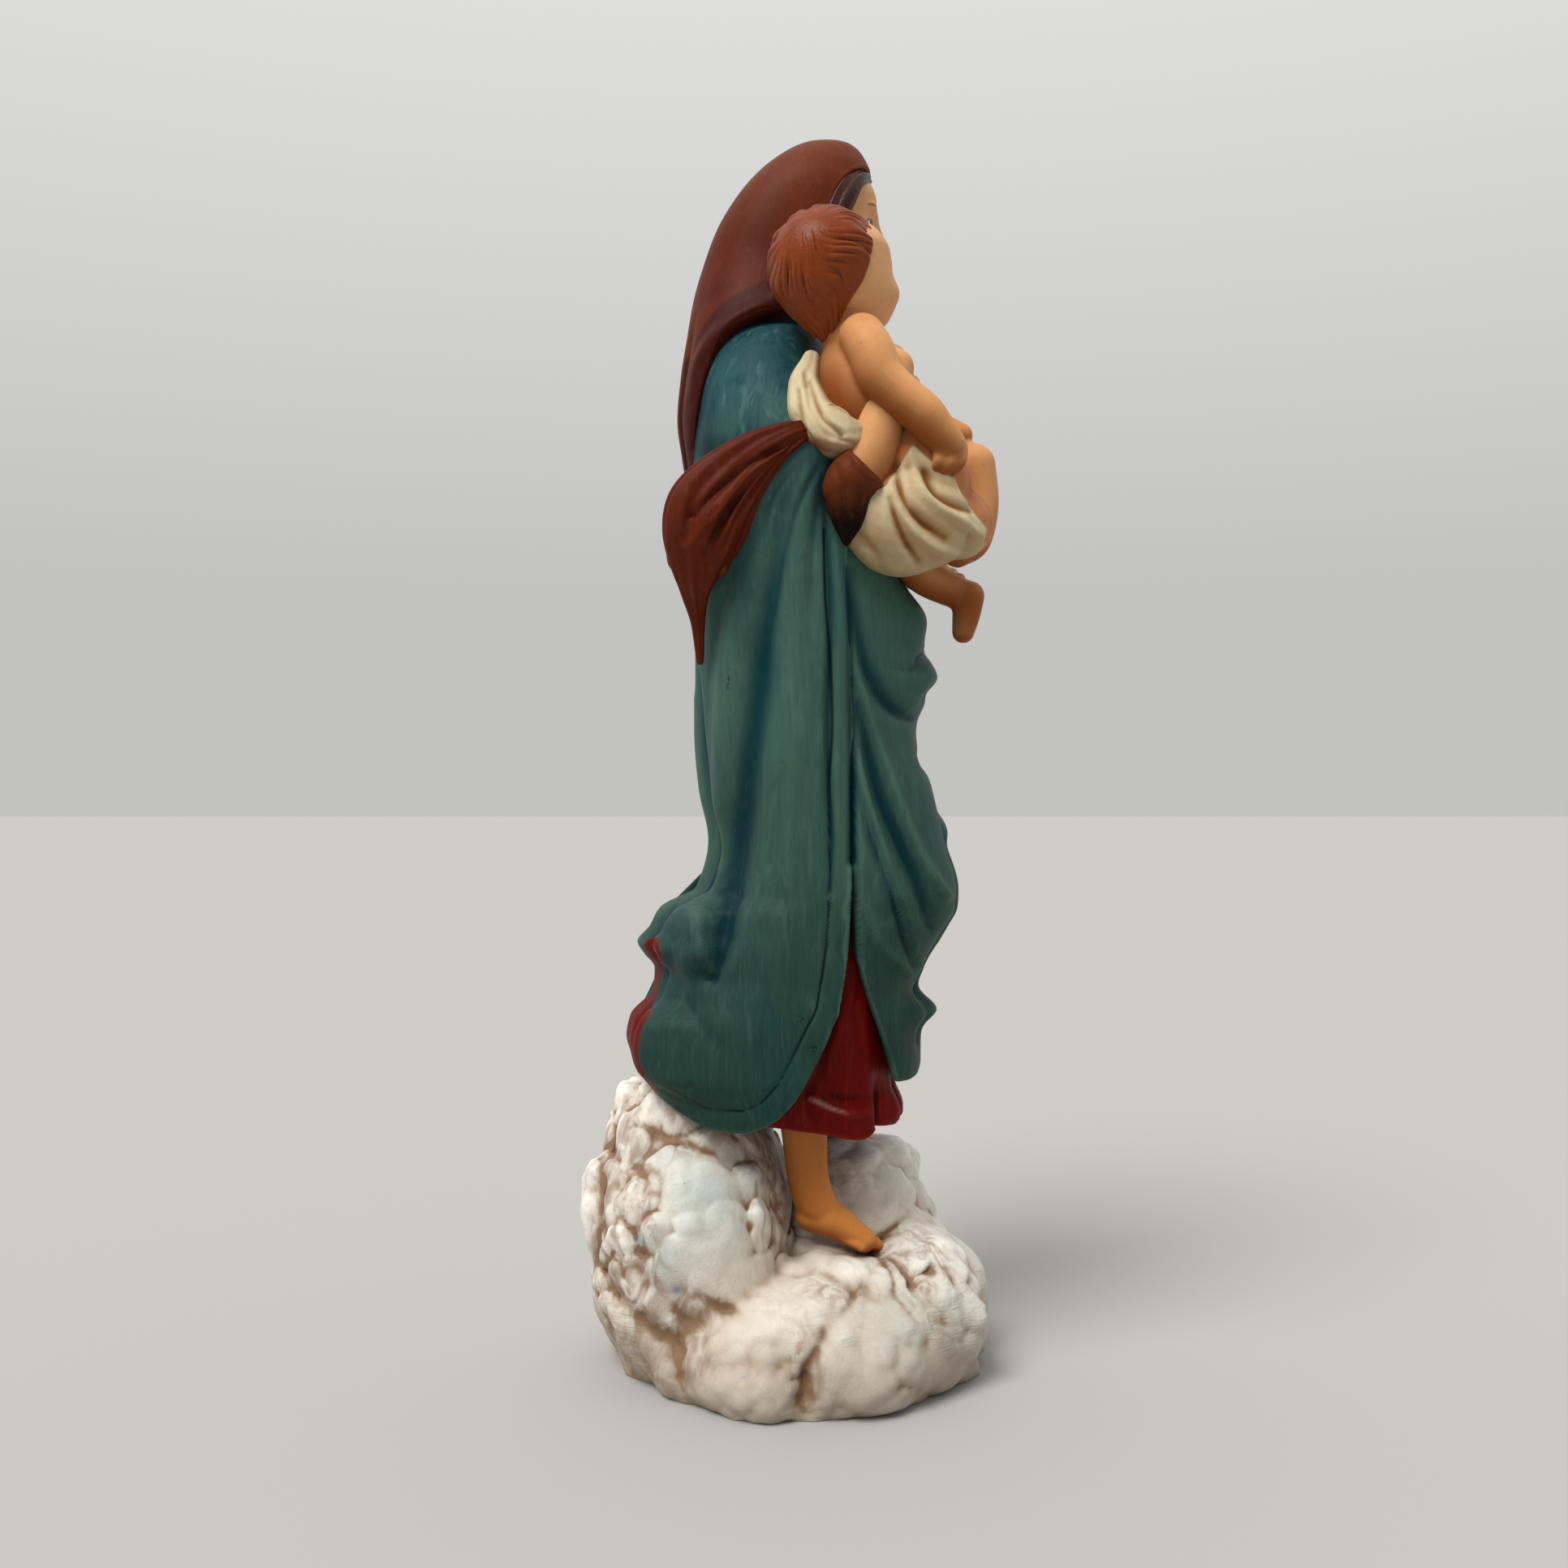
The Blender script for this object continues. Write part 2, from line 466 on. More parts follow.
def border_folds():
    """The line scored along the mantle's right lobe, a fixed distance inside its edge."""
    inset = BORDER_INSET / UNIT
    lobe = np.array([(f, u) for f, u in RIGHT_HEM if -28 < f < 13.3])
    run = np.gradient(lobe, axis=0)
    run /= np.linalg.norm(run, axis=1, keepdims=True)
    inside = lobe + inset * np.stack([-run[:, 1], run[:, 0]], 1)
    nearer = EYE_DISTANCE / (EYE_DISTANCE - 30)
    across, height = inside[:, 0] * nearer, EYE_HEIGHT + (inside[:, 1] - EYE_HEIGHT) * nearer
    return (("right", tuple((a, h, 0.45, -0.6) for a, h in zip(across, height))),)


def mantle_and_dress(forms):
    draped("mantle", MANTLE_PROFILE, forms, hem=hem_level, folds=MANTLE_FOLDS + border_folds(),
           swells=MANTLE_SWELLS,
           columns=2 * COLUMNS)
    draped("dress", DRESS_PROFILE, forms, hem=dress_hem, folds=DRESS_FOLDS, rows=40)


# The veil and the bunched cloth under her arm

VEIL_PROFILE = (
    (196, -20.8, -13.0, -11.0, 13.0),
    (200, -23.2, -12.0, -15.0, 16.0),
    (206, -24.3, -11.0, -18.0, 19.0),
    (214, -25.3, -6.0, -20.0, 21.0),
    (224, -24.5, 1.0, -20.5, 21.0),
    (233, -23.1, 8.0, -19.5, 19.5),
    (241, -21.8, 14.0, -17.0, 17.0),
    (250, -19.3, 17.5, -15.3, 15.3),
    (258, -16.3, 19.0, -14.9, 14.9),
    (265, -12.1, 19.8, -14.2, 14.2),
    (270.6, -7.4, 19.4, -12.2, 12.2),
    (275, -2.0, 17.6, -9.0, 9.0),
    (277.6, 2.4, 15.2, -5.4, 5.4),
    (278.8, 5.6, 12.6, -1.6, 1.6),
)
VEIL_EDGE = (
    (196, -20.8), (210, -20.0), (218, -18.6), (226, -15.8), (231, -12.4), (234.2, -7.0), (236, -1.5),
    (238.5, 4.0),
    (243, 6.6), (250, 8.6), (258, 9.6), (264, 11.4), (268, 14.2), (271, 18.2), (273, 22), (280, 30),
)
VEIL_FOLDS = (
    ("right", ((-3, 243, 1.4, 0.5), (-10, 240, 1.4, 0.9), (-16.5, 235, 1.4, 1.0), (-20.8, 228, 1.2, 0.9),
               (-22.6, 220, 1.1, 0.4))),
    ("right", ((-2, 239, 1.2, -0.3), (-9.5, 236.4, 1.3, -0.9), (-15.6, 231, 1.3, -1.2), (-19, 222, 1.2, -1.3),
               (-21.4, 208, 1.0, -0.9))),
    ("back", ((-9, 236, 1.6, -0.4), (-10, 222, 2.2, -1.4), (-9, 206, 2.0, -1.5), (-8, 197, 1.6, -0.8))),
    ("back", ((0, 240, 1.6, -0.3), (1, 224, 2.2, -1.2), (1, 208, 2.0, -1.4), (1, 197, 1.6, -0.8))),
    ("back", ((10, 236, 1.6, -0.4), (11, 222, 2.2, -1.4), (11, 206, 2.0, -1.5), (10, 197, 1.6, -0.8))),
    ("left", ((-3, 243, 1.4, 0.5), (-10, 239, 1.4, 0.9), (-16, 233, 1.4, 1.0), (-20, 224, 1.2, 0.8))),
)
VEIL_SINK = 6.5  # how deep the veil's solid lies under the face and shoulders


def veil_cut(fore, left, up):
    """Sinks the veil's solid in front of its own edge, and leaves that edge standing proud."""
    edge = table_flow(up, VEIL_EDGE)[..., 0]
    return VEIL_SINK * ramp(fore - edge, -0.4, 1.4)


def veil(forms):
    draped("veil", VEIL_PROFILE, forms, power=2.15, folds=VEIL_FOLDS, cut=veil_cut, rows=90)
    # The end of the veil is drawn forward under her arm and tucked in by the child, and its tip hangs down.
    limb("veil_roll", ((-19.2, -17.0, 158.0, 0.8), (-19.5, -20.0, 166.0, 1.5), (-19.9, -24.0, 172.0, 3.0),
                       (-19.5, -27.6, 177.4, 5.6), (-18.5, -29.6, 182.4, 7.9), (-16.7, -30.8, 188.0, 8.9),
                       (-11.4, -32.0, 194.8, 7.4), (-5.0, -34.6, 200.2, 5.0), (1.0, -35.4, 203.6, 3.0),
                       (4.8, -34.4, 205.2, 1.9)),
         forms, flat=0.78, columns=48, flutes=8, flute_depth=0.05, power=2.6)
    limb("veil_roll_behind", ((-19.6, 5, 203, 3.8), (-19.4, 1, 195, 6.4), (-18.8, -5, 187.5, 8.0),
                              (-17.8, -14, 182.4, 8.6), (-16.6, -25, 180.4, 6.6)),
         forms, flat=0.8, columns=40, flutes=7, flute_depth=0.05)


# Her head, arms, hands and feet

HEAD_PROFILE = (
    (242.2, 12.0, 18.6, -2.2, 2.2),
    (243.4, 8.0, 20.0, -4.8, 4.8),
    (246, 3.5, 20.4, -7.2, 7.2),
    (249.5, 0.0, 20.0, -9.0, 9.0),
    (253, -2.5, 20.2, -10.1, 10.1),
    (257, -4.2, 20.2, -10.9, 10.9),
    (261, -5.0, 20.4, -11.3, 11.3),
    (265, -5.0, 20.6, -11.3, 11.3),
    (269, -3.8, 19.2, -10.3, 10.3),
    (273, -0.5, 16.0, -7.8, 7.8),
    (276, 4.0, 11.5, -4.0, 4.0),
)
FACE_FOLDS = (
    ("front", ((0, 261.5, 1.3, 0.3), (0, 258.5, 1.2, 1.4), (0, 255.6, 1.3, 2.9), (0, 254.2, 1.5, 3.3))),
    ("front", ((-7, 261.6, 1.2, 0.2), (-4.2, 262.9, 1.2, 0.6), (-1, 262.2, 1.2, 0.3))),
    ("front", ((7, 261.6, 1.2, 0.2), (4.2, 262.9, 1.2, 0.6), (1, 262.2, 1.2, 0.3))),
    ("front", ((-2.3, 249.6, 0.6, 0.1), (-0.8, 250.1, 0.6, 0.8), (0.8, 250.1, 0.6, 0.8),
               (2.3, 249.6, 0.6, 0.1))),
    ("front", ((-2.0, 248.6, 0.6, 0.1), (0, 248.0, 0.8, 0.9), (2.0, 248.6, 0.6, 0.1))),
)
FACE_SWELLS = (
    (20, -4.3, 259.2, 4, 2.5, 1.9, -1.5), (20, 4.3, 259.2, 4, 2.5, 1.9, -1.5),
    (20, -4.3, 258.9, 4, 1.7, 1.15, 1.25), (20, 4.3, 258.9, 4, 1.7, 1.15, 1.25),
    (20, -1.7, 253.9, 4, 0.9, 0.9, 1.0), (20, 1.7, 253.9, 4, 0.9, 0.9, 1.0),
    (20, -0.8, 252.9, 4, 0.45, 0.4, -0.7), (20, 0.8, 252.9, 4, 0.45, 0.4, -0.7),
    (20, 0, 244.6, 4, 2.6, 1.7, 0.8), (20, 0, 246.7, 4, 2.2, 0.8, -0.55),
    (20, 0, 251.4, 4, 0.45, 0.8, -0.3),
    (16, -6, 254.6, 5, 3.2, 3.2, 0.7), (16, 6, 254.6, 5, 3.2, 3.2, 0.7),
)


def virgin_head(forms):
    draped("face", HEAD_PROFILE, forms, power=2.1, folds=FACE_FOLDS, swells=FACE_SWELLS, rows=60, columns=72)
    limb("neck", ((6.5, 0, 246, 6.6), (4, 0, 236, 6.6), (1, 0, 228, 8.5)), forms)
    for side in (-1, 1):
        limb("hair", ((16.9, side * 1.4, 269.8, 2.5), (14.8, side * 6.6, 267.4, 2.9),
                      (11.8, side * 10.4, 262.0, 3.2),
                      (9.0, side * 11.8, 255.0, 2.9), (7.0, side * 11.4, 247.0, 2.4)),
                      forms, columns=24, flutes=7,
             flute_depth=0.06)


def virgin_right_arm(forms):
    limb("right_sleeve", ((11.6, -33.6, 189.2, 3.6), (12.2, -34.4, 191.6, 5.3), (13.9, -35.0, 194.4, 5.9),
                          (16.2, -35.4, 196.8, 5.5)), forms, columns=28)
    limb("right_sleeve_drop", ((12.8, -35.0, 191.4, 5.2), (12.6, -35.4, 187.0, 4.0),
                               (12.4, -35.4, 183.4, 2.2),
                               (12.3, -35.2, 181.6, 1.1)), forms, columns=28)
    limb("right_forearm", ((14, -34, 193, 5.2), (17.4, -34, 199.5, 5.0), (19.6, -33.2, 207, 4.8),
                           (21.6, -31.6, 214, 4.6), (22.6, -30.2, 219, 4.2)), forms)
    for finger in range(4):
        up = 222.8 - 3.2 * finger
        fore = 21.6 + 1.7 * finger
        limb("right_finger", ((fore - 2.5, -31, up - 2.0, 2.1), (fore + 0.5, -28.5, up, 1.95),
                              (fore + 1.8, -24.5, up + 0.4, 1.85), (fore + 1.2, -20.5, up + 0.2, 1.6)),
                              forms, columns=14)


def virgin_left_arm(forms):
    limb("left_upper_arm", ((-2, 20, 226, 9), (-4, 27, 210, 9.5), (-2, 29.5, 194, 10)), forms, columns=28)
    limb("left_forearm", ((-2, 29, 192, 10), (10, 26, 187, 9), (20, 18, 184, 7.8),
                          (24.5, 12.5, 183.5, 6.6)), forms,
         columns=32, flutes=8, flute_depth=0.05)
    limb("left_wrist", ((22, 15, 183.5, 5.4), (28, 7.5, 182.5, 4.6), (31, 3.0, 181, 4.2)), forms)
    limb("left_palm", ((29, 5.0, 181.5, 4.6), (32.5, -2.5, 179, 4.8)), forms, flat=1.1)
    for finger in range(4):
        fore = 28.4 + 3.1 * finger
        limb("left_finger", ((fore, -1, 179, 1.9), (fore + 0.4, -7, 176.8, 1.8),
                             (fore + 0.6, -12.5, 176.6, 1.5)),
             forms, columns=14)
    limb("left_thumb", ((34.5, 1.0, 182.5, 2.1), (38.6, -3.0, 185.5, 1.8), (40, -7.4, 187.5, 1.5)),
         forms, columns=14)


def foot(forms, name, heel, turn, tip=0.0):
    """A bare right foot with five toes, from its heel's place, turned out and tipped toe-down in degrees."""
    sin, cos = math.sin(math.radians(turn)), math.cos(math.radians(turn))
    tip_sin, tip_cos = math.sin(math.radians(tip)), math.cos(math.radians(tip))

    def put(fore, left, up, radius):
        fore, up = fore * tip_cos + up * tip_sin, up * tip_cos - fore * tip_sin
        return (heel[0] + fore * cos - left * sin, heel[1] + fore * sin + left * cos, heel[2] + up, radius)

    limb(name, (put(0, 0, 3.6, 3.5), put(4.5, -0.2, 4.2, 4.0), put(9, -0.4, 3.2, 3.4),
                put(12.8, -0.6, 2.3, 2.7)),
         forms, flat=1.12)
    for toe in range(5):
        reach = 15.9 - 0.7 * toe - (0.4 if toe else 0)
        aside = 2.6 - 1.5 * toe
        radius = 1.7 if toe == 0 else 1.25 - 0.06 * toe
        limb(name + "_toe", (put(reach - 5, aside * 0.8, 2.0, radius), put(reach - 1.2, aside, 1.6, radius),
                             put(reach, aside, 1.2, radius * 0.9)), forms, columns=12)


def virgin_feet(forms):
    foot(forms, "right_foot", (4.3, -10.8, DRAWN_SOLE + 3.4), -6, tip=17)
    limb("right_shin", ((3.3, -12.6, 62, 6.2), (3.8, -12.2, 53, 5.1), (4.5, -11.6, 44, 4.7),
                        (6.3, -11.2, 37.4, 4.6),
                        (9.8, -11.2, 33.6, 3.9)), forms)
    foot(forms, "left_foot", (-10.0, 12.0, DRAWN_SOLE + 10), 12)
    limb("left_shin", ((-8, 11, 62, 5.6), (-8, 11.5, 52, 5.0), (-8, 12, 44, 4.3)), forms)


# The child

CHILD_HEAD = (10.4, -26.4, 240.2)
CHILD_TURN, CHILD_LEAN = 26.0, -4.0


def on_child_head(points):
    """Points drawn on the child's own head, with its centre at zero, put where the head is."""
    turned = Matrix.Rotation(math.radians(CHILD_TURN), 3, "Z")
    leaning = Matrix.Rotation(math.radians(CHILD_LEAN), 3, "Y")
    return np.asarray(points, float) @ np.array(turned @ leaning).T + np.array(CHILD_HEAD)


CHILD_HEAD_PROFILE = (
    (-12.2, 0.5, 7.0, -2.4, 2.4),
    (-11, -3.0, 10.2, -5.4, 5.4),
    (-8, -6.5, 12.2, -8.4, 8.4),
    (-4, -10.5, 12.7, -10.2, 10.2),
    (0, -12.6, 12.4, -10.8, 10.8),
    (4, -12.8, 12.0, -10.8, 10.8),
    (8, -10.4, 10.0, -8.8, 8.8),
    (11, -5.8, 5.6, -4.9, 4.9),
    (12.2, -1.5, 1.5, -1.2, 1.2),
)
CHILD_FACE_FOLDS = (
    ("front", ((0, -0.6, 1.2, 0.2), (0, -2.6, 1.2, 1.0), (0, -4.0, 1.3, 1.7))),
    ("front", ((-1.7, -6.9, 0.5, 0.1), (0, -6.6, 0.6, 0.7), (1.7, -6.9, 0.5, 0.1))),
    ("front", ((-1.4, -7.9, 0.5, 0.1), (0, -8.1, 0.6, 0.7), (1.4, -7.9, 0.5, 0.1))),
)
CHILD_FACE_SWELLS = (
    (12, -3.6, -1.6, 4, 1.8, 1.4, -0.8), (12, 3.6, -1.6, 4, 1.8, 1.4, -0.8),
    (12, -3.6, -1.8, 4, 1.3, 0.9, 0.7), (12, 3.6, -1.8, 4, 1.3, 0.9, 0.7),
    (9.5, -5.6, -5.4, 5, 3.0, 3.0, 1.1), (9.5, 5.6, -5.4, 5, 3.0, 3.0, 1.1),
    (12, 0, -10.2, 4, 2.4, 1.4, 0.5),
)


HAIR_RADII = np.array((12.5, 12.0, 12.8))
HAIRLINE = ((-14, -3.4), (-9.6, -2.1), (-4, 1.0), (0.7, 2.9), (7.3, 4.8), (10, 6.0), (14, 8.0))
HAIR_SINK = 3.2  # how deep the hair's solid lies under the face


def child_hair(forms):
    """A cap of hair that runs down to a point at the nape."""
    pitch = np.linspace(0.02, math.pi - 0.02, 40)[:, None]
    turn = np.linspace(0, 2 * math.pi, 64, endpoint=False)
    way = np.stack([np.sin(pitch) * np.cos(turn), np.sin(pitch) * np.sin(turn),
                    -np.cos(pitch) + 0 * turn], -1)
    local = way * HAIR_RADII + (-2.3, 0, 0.9)
    below = np.maximum(-1.5 - local[..., 2], 0)
    local -= np.stack([0.1 * below, 0.1 * below, 0.36 * below], -1)
    narrow = 1 - 0.5 * ramp(below, 0, 13)
    local[..., :2] = local[..., :2] * narrow[..., None] + np.array((-1.4, -1.2)) * (1 - narrow[..., None])
    before = local[..., 0] - table_flow(local[..., 2], HAIRLINE)[..., 0]
    local -= way * (HAIR_SINK * ramp(before, -0.6, 1.6))[..., None]
    skin("child_hair", on_child_head(local), figure_points, forms)


def child_head(forms):
    made = draped("child_face", CHILD_HEAD_PROFILE, forms, power=2.1, folds=CHILD_FACE_FOLDS,
                  swells=CHILD_FACE_SWELLS, rows=48, columns=64)
    flat = np.array([v.co for v in made.data.vertices])
    height = (flat[:, 2] - STANDING_HEIGHT) / UNIT + DRAWN_SOLE
    drawn = np.stack([-flat[:, 1] / UNIT, flat[:, 0] / UNIT, height], 1)
    for vertex, point in zip(made.data.vertices, figure_points(on_child_head(drawn))):
        vertex.co = point
    child_hair(forms)
    limb("child_neck", ((12, -26.6, 232, 6.0), (13.6, -26.6, 226, 6.4)), forms)


def child_body(forms):
    ball("child_chest", (15.4, -25.6, 215.0), (9.8, 10.4, 15.0), forms)
    ball("child_belly", (18.6, -26.0, 201.0), (9.0, 10.0, 10.0), forms)
    ball("child_shoulders", (15.6, -25.6, 223.6), (6.4, 12.0, 5.6), forms)
    limb("child_right_arm", ((15.6, -33.6, 224.6, 5.0), (17.4, -36.2, 220.6, 5.0), (19.2, -37.2, 215.8, 4.8),
                             (23.4, -37.4, 211.4, 4.6), (27.6, -37.2, 208.0, 4.6), (31.4, -36.2, 204.0, 4.0),
                             (33.6, -35.0, 201.6, 3.7)), forms)
    limb("child_right_hand", ((33.4, -34.8, 202.0, 3.6), (34.4, -33.8, 199.8, 3.4),
                              (33.4, -33.2, 197.8, 2.6)), forms,
         flat=1.1)
    limb("child_left_arm", ((17.5, -15.0, 224, 4.8), (23, -11.0, 216, 4.6), (30, -10.6, 212, 4.2),
                            (36.0, -12.4, 209.6, 3.2), (38.4, -13.8, 208.4, 2.8)), forms)
    limb("child_far_thigh", ((22, -16, 190, 8.0), (32, -14.6, 197, 6.4), (40.6, -14.6, 201.6, 5.0)), forms)
    limb("child_far_shin", ((41.0, -14.8, 201.4, 5.1), (42.2, -15.6, 193.0, 4.5), (40.6, -17.6, 184.8, 4.2),
                            (37.0, -21.0, 181.4, 3.4)), forms)
    limb("child_near_leg", ((24, -18, 184, 5.0), (30.4, -15.6, 176.6, 4.0), (37.0, -14.8, 173.6, 3.7),
                            (39.8, -14.6, 172.4, 3.5)), forms)
    limb("child_near_foot", ((40.3, -14.6, 172.6, 3.4), (39.6, -14.8, 168.4, 3.1),
                             (38.9, -15.0, 164.6, 2.5)), forms,
         flat=1.2)


def child_cloths(forms):
    limb("loincloth", ((19.0, -25.0, 190, 11.6), (24.5, -27.0, 187.8, 12.6), (31.0, -27.4, 187.2, 10.8),
                       (36.4, -26.0, 186.8, 7.8)), forms, columns=40, flutes=8, flute_depth=0.02)
    limb("lap_cloth", ((22, -26, 196, 8.6), (26.6, -28.6, 199.4, 7.6), (31.4, -28, 195.0, 8.0)),
         forms, columns=28,
         flutes=6, flute_depth=0.03)
    limb("hip_cloth", ((26.4, -30.4, 204.0, 4.4), (28.4, -31.0, 199.4, 5.6), (32.4, -29.6, 196.0, 6.2)),
         forms)
    limb("back_cloth", ((5.0, -27.6, 221.4, 2.0), (3.6, -29.4, 215.4, 3.6), (4.6, -31.0, 209.4, 5.2),
                        (8.4, -33.0, 205.0, 5.6), (12.8, -34.4, 203.9, 4.4), (16.6, -34.6, 204.6, 1.8)),
                        forms,
         flat=1.15, columns=36, flutes=5, flute_depth=0.035)


# The cloud

CLOUD_HEART = (-6.0, 0.0, 10.0)
MASSES = (
    (3, -1, 7, 37.5, 39.5, 18),
    (27, -3, 12, 15.5, 23, 17),
    (-21, -1, 27, 22, 29, 35),
    (-28, 0, 36, 13, 21, 23),
    (13, 14, 19, 20.5, 22, 28),
)

# The larger puffs of her right side, each as its centre, its three reaches and its rise.
LOBES = (
    (-22, -32, 39, 13, 14, 18, 4.4),
    (-17, -34, 27, 10, 12, 9, 3.4),
    (-5, -38, 21, 14, 14, 12.5, 4.6),
    (9, -34, 17, 10, 10, 12, 3.6),
    (25, -30, 12, 17, 14, 13, 4.4),
    (35, -18, 15, 9, 12, 12, 3.0),
    (-31, -26, 16, 9, 12, 15, 3.6),
    (-39, -20, 40, 5, 9, 16, 2.6),
    (-41, -10, 35, 6, 8, 14, 4.8),
    (-38, -16, 58, 6, 9, 8, 2.4),
    (-42, -8, 17.5, 8, 12, 11.5, 2.6),
    (-13, -38, 4, 13, 9, 7, 4.4),
    (20, -36, 3, 12, 8, 6, 2.6),
    (36, -28, 4, 10, 10, 7, 3.4),
    (36, -10, 27, 9, 9, 8, 3.0),
    (26, -24, 25, 7.5, 7, 5, 2.2),
    (17, 5, 35, 8, 8, 7, 2.6),
    (27, 13, 42, 8, 9, 8, 5.2),
    (-6, -22, 36, 4.0, 4.5, 6.5, 4.6),
    (6, -22, 29, 7, 6, 4, 3.0),
    (15, -21, 26, 7, 6, 4, 3.2),
    (20, -17, 24, 6, 6, 4, 3.4),
    (22, -13, 24, 5, 6, 4, 2.2),
)
# The crevices between the puffs of her right side.
CREVICES = (
    ("right", ((-36.5, 61, 1.4, -0.8), (-38.4, 51.6, 1.6, -2.2), (-41.2, 42.2, 1.6, -2.4),
               (-42.2, 32.8, 1.6, -1.8),
               (-42.2, 23.5, 1.8, -2.4), (-38.6, 14.8, 1.8, -2.8), (-31.9, 7.5, 1.8, -2.8),
               (-25.1, 1.5, 2.0, -2.8),
               (-23.8, -4.7, 2.0, -2.4), (-24.5, -9, 2.0, -1.4))),
    ("right", ((-0.6, 24.2, 1.6, -0.8), (6, 18, 1.8, -1.4), (14.4, 12.6, 1.6, -1.8), (10.4, 7.6, 1.6, -1.6),
               (6.6, 2.2, 1.8, -2.6), (4.1, -6.2, 1.8, -2.4), (5.4, -10.6, 1.8, -1.4))),
    ("right", ((21.7, 22.9, 1.4, -0.8), (26.4, 17.6, 1.5, -1.6), (30.9, 12.6, 1.5, -1.5),
               (35.6, 3.2, 1.6, -1.2))),
    ("right", ((-5.6, 50, 1.6, -0.8), (-4.2, 40.3, 1.8, -2.2), (-1.2, 31, 1.6, -2.4),
               (4.4, 25.6, 1.4, -1.2))),
    ("right", ((-13.4, 31, 1.2, -0.4), (-8.4, 27.8, 1.4, -1.6), (-4.6, 25.8, 1.4, -1.6),
               (-1.8, 25, 1.2, -0.6))),
    ("right", ((-30.6, 53, 1.2, -0.4), (-25.4, 47.4, 1.4, -1.0), (-17.6, 45.6, 1.6, -1.2),
               (-9.6, 44, 1.6, -0.8))),
    ("right", ((-27.4, 20, 1.2, -0.3), (-22.4, 13.8, 1.6, -1.2), (-15.4, 10.6, 1.6, -1.6),
               (-9.2, 8.2, 1.4, -0.6))),
)
FOOT_RECESS = ((6, -10.5, 32), (12, -11.5, 30), (19, -12.5, 28))
SMOOTH_PATCHES = ((-14, 32, 17, 17), (-4, 10, 16, 14), (14, -4, 12, 8))


def golden_ways(count, turned):
    """Directions spread evenly over a sphere."""
    step = np.arange(count)
    up = 1 - 2 * (step + 0.5) / count
    level = np.sqrt(1 - up * up)
    turn = math.pi * (3 - math.sqrt(5)) * step + turned
    return np.stack([level * np.cos(turn), level * np.sin(turn), up], 1)


def mound(ways):
    """Where each direction from the cloud's heart leaves its masses, softly joined."""
    heart = np.array(CLOUD_HEART)
    total = np.zeros(len(ways))
    for mass in MASSES:
        centre, reach = np.array(mass[:3]), np.array(mass[3:])
        square = ((ways / reach) ** 2).sum(1)
        slope = (ways * (heart - centre) / reach**2).sum(1)
        start = (((heart - centre) / reach) ** 2).sum() - 1
        leaves = (np.sqrt(np.maximum(slope**2 - square * start, 0)) - slope) / square
        total += np.maximum(leaves, 1) ** 14
    return heart + ways * (total ** (1 / 14))[:, None]


def puffs(count, radius, height, turned):
    """Generic puffs over the whole cloud, that leave room for the lobes and for the foot."""
    ways = golden_ways(count, turned)
    step = np.arange(count)
    reach = radius * (1 + 0.28 * np.sin(5.1 * step + turned))
    places = mound(ways)
    shape = 1 + 0.25 * np.stack([np.sin(2.7 * step), np.cos(3.9 * step), np.sin(4.3 * step + 1)], 1)
    made = np.concatenate([places, reach[:, None] * shape, (height * reach)[:, None]], 1)
    recess = np.array(FOOT_RECESS)
    clear = np.linalg.norm(places[:, None] - recess, axis=2).min(1) > reach * 0.8 + 3.5
    return made[clear]


def raised(places, lumps, sharp=4.0):
    """The height of the domes over each place, melted together where they meet."""
    total = np.ones(len(places))
    for lump in lumps:
        away = (((places - lump[:3]) / lump[3:6]) ** 2).sum(1)
        total += np.exp(sharp * lump[6] * np.maximum(1 - away, 0) ** 0.8) - 1
    return np.log(total) / sharp


def calm(places, ways):
    """Where her right side of the cloud is smooth, from 0 to 1."""
    across, up = elevation(*places.T, "right")
    patches = 0.0
    for across_at, up_at, across_reach, up_reach in SMOOTH_PATCHES:
        away = ((across - across_at) / across_reach) ** 2 + ((up - up_at) / up_reach) ** 2
        patches = patches + np.exp(-away)
    return np.clip(patches * ramp(-ways[:, 1], 0.1, 0.5), 0, 1)


def cloud(forms, fineness=6):
    work = bmesh.new()
    bmesh.ops.create_icosphere(work, subdivisions=fineness, radius=1.0)
    ways = np.array([v.co for v in work.verts], float)
    ways /= np.linalg.norm(ways, axis=1, keepdims=True)
    smooth = mound(ways)
    radius = PUFF_RADIUS / UNIT
    lobes = np.array(LOBES, float)
    aims = lobes[:, :3] - CLOUD_HEART
    lobes[:, :3] = mound(aims / np.linalg.norm(aims, axis=1)[:, None])
    uneven = np.clip([0.55 + 1.2 * noise.noise(Vector(p) * 0.07) for p in smooth], 0.08, 1.1)
    smoother = calm(smooth, ways)
    rise = raised(smooth, np.concatenate([puffs(110, radius, 0.3, 0.4), lobes]), 2.2)
    rise += raised(smooth, puffs(420, radius * 0.46, 0.34, 1.7)) * (1 - 0.4 * smoother) * uneven
    rise += 0.6 * carved(*smooth.T, ways[:, 0], ways[:, 1], CREVICES)
    for vertex, point in zip(work.verts, cloud_points(smooth + ways * rise[:, None])):
        vertex.co = point
    mesh = bpy.data.meshes.new("cloud")
    work.to_mesh(mesh)
    work.free()
    return added("cloud", mesh, forms)


# The casting


def evaluated_mesh(shape, name):
    graph = bpy.context.evaluated_depsgraph_get()
    return bpy.data.meshes.new_from_object(shape.evaluated_get(graph), depsgraph=graph)


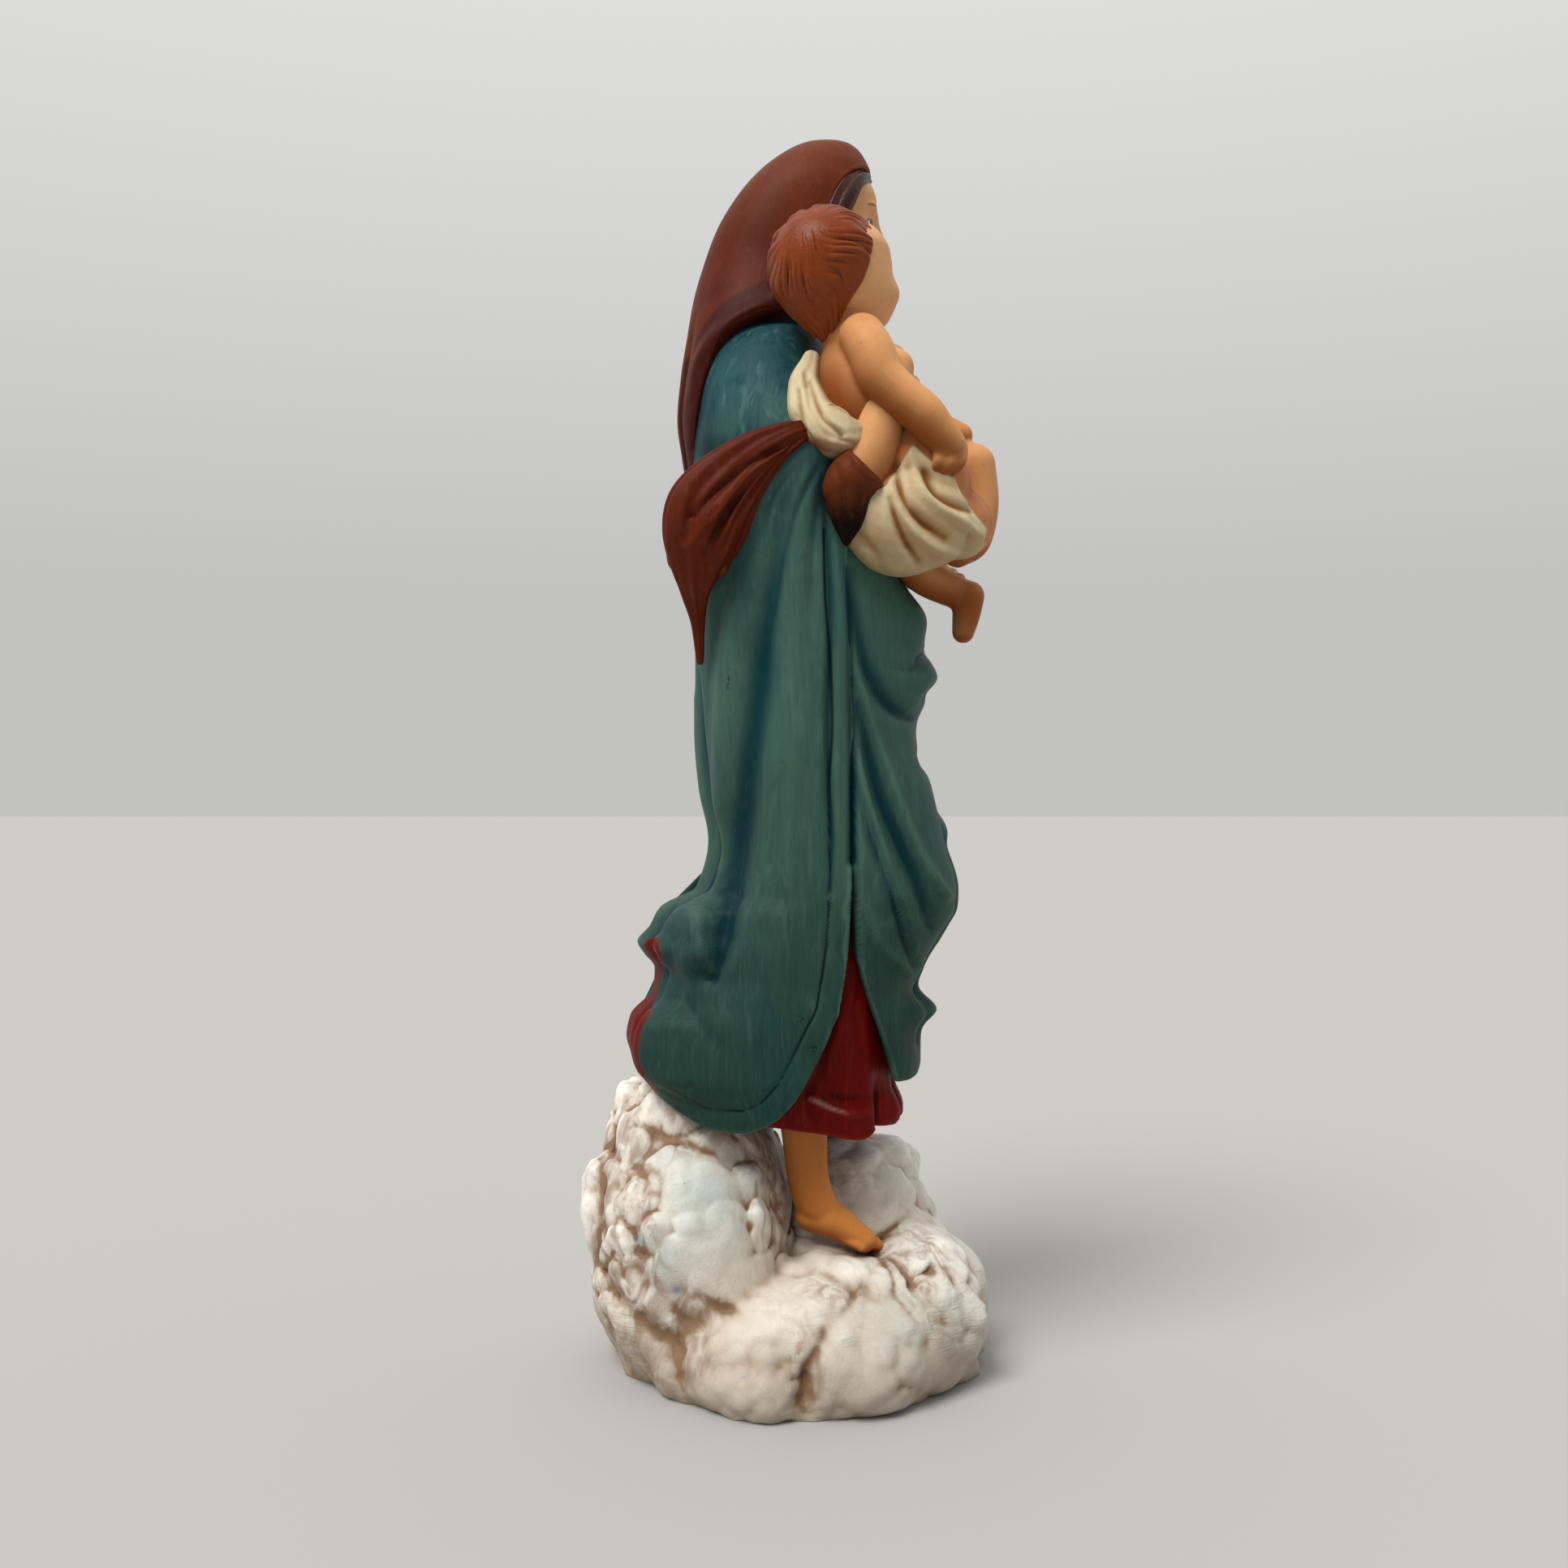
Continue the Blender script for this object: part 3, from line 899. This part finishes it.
def joined(name, forms, collection):
    """One object that holds the meshes of all the forms."""
    work = bmesh.new()
    for form in forms.objects:
        work.from_mesh(form.data)
    mesh = bpy.data.meshes.new(name)
    work.to_mesh(mesh)
    work.free()
    made = bpy.data.objects.new(name, mesh)
    collection.objects.link(made)
    return made


def fill_hollows(mesh):
    """Removes the skins of any hollows that the forms enclose between them, which face inward."""
    work = bmesh.new()
    work.from_mesh(mesh)
    unseen = set(work.verts)
    inward = []
    while unseen:
        shell, waiting = [], [unseen.pop()]
        while waiting:
            vertex = waiting.pop()
            shell.append(vertex)
            for edge in vertex.link_edges:
                other = edge.other_vert(vertex)
                if other in unseen:
                    unseen.discard(other)
                    waiting.append(other)
        volume = 0.0
        for face in {face for vertex in shell for face in vertex.link_faces}:
            volume += face.calc_center_median().dot(face.normal) * face.calc_area()
        if volume < 0:
            inward += shell
    bmesh.ops.delete(work, geom=inward, context="VERTS")
    work.to_mesh(mesh)
    work.free()


def cast(forms, collection):
    """Fuses the forms into one skin, as the mould does, and thins its triangles."""
    statue = joined("virgin_and_child", forms, collection)
    remesh = statue.modifiers.new("fuse", "REMESH")
    remesh.mode = "VOXEL"
    remesh.voxel_size = CASTING_VOXEL
    soften = statue.modifiers.new("soften", "SMOOTH")
    soften.factor = 0.4
    soften.iterations = 2
    bpy.context.view_layer.update()
    fused = evaluated_mesh(statue, "fused")
    fill_hollows(fused)
    statue.modifiers.clear()
    statue.data = fused
    fused.calc_loop_triangles()
    thin = statue.modifiers.new("thin", "DECIMATE")
    thin.ratio = CASTING_TRIANGLES / len(fused.loop_triangles)
    thin.use_collapse_triangulate = True
    return statue


def flat_underside(statue, helpers):
    """Cuts the casting off level, so that it stands on its underside."""
    depth = 4 * CLOUD_HEIGHT
    bpy.ops.mesh.primitive_cube_add(size=1, location=(0, 0, -depth / 2))
    ground = bpy.context.active_object
    ground.name = "ground"
    ground.scale = (4 * CLOUD_WIDTH, 4 * CLOUD_LENGTH, depth)
    for owner in list(ground.users_collection):
        owner.objects.unlink(ground)
    helpers.objects.link(ground)
    ground.hide_render = True
    ground.display_type = "WIRE"
    level = statue.modifiers.new("level", "BOOLEAN")
    level.operation = "DIFFERENCE"
    level.solver = "EXACT"
    level.object = ground


def bisque():
    material = bpy.data.materials.new("painted_bisque")
    material.use_nodes = True
    shader = material.node_tree.nodes["Principled BSDF"]
    shader.inputs["Base Color"].default_value = (0.12, 0.24, 0.23, 1)
    shader.inputs["Roughness"].default_value = 0.5
    shader.inputs["Metallic"].default_value = 0.0
    return material


def main():
    clear_scene()
    figurine = new_collection("virgin_and_child_figurine")
    forms = new_collection("forms")
    forms.hide_render = True
    cloud(forms)
    mantle_and_dress(forms)
    veil(forms)
    virgin_head(forms)
    virgin_right_arm(forms)
    virgin_left_arm(forms)
    virgin_feet(forms)
    child_head(forms)
    child_body(forms)
    child_cloths(forms)
    statue = cast(forms, figurine)
    flat_underside(statue, forms)
    statue.data.materials.append(bisque())
    for form in forms.objects:
        form.hide_render = True
        form.display_type = "WIRE"


main()
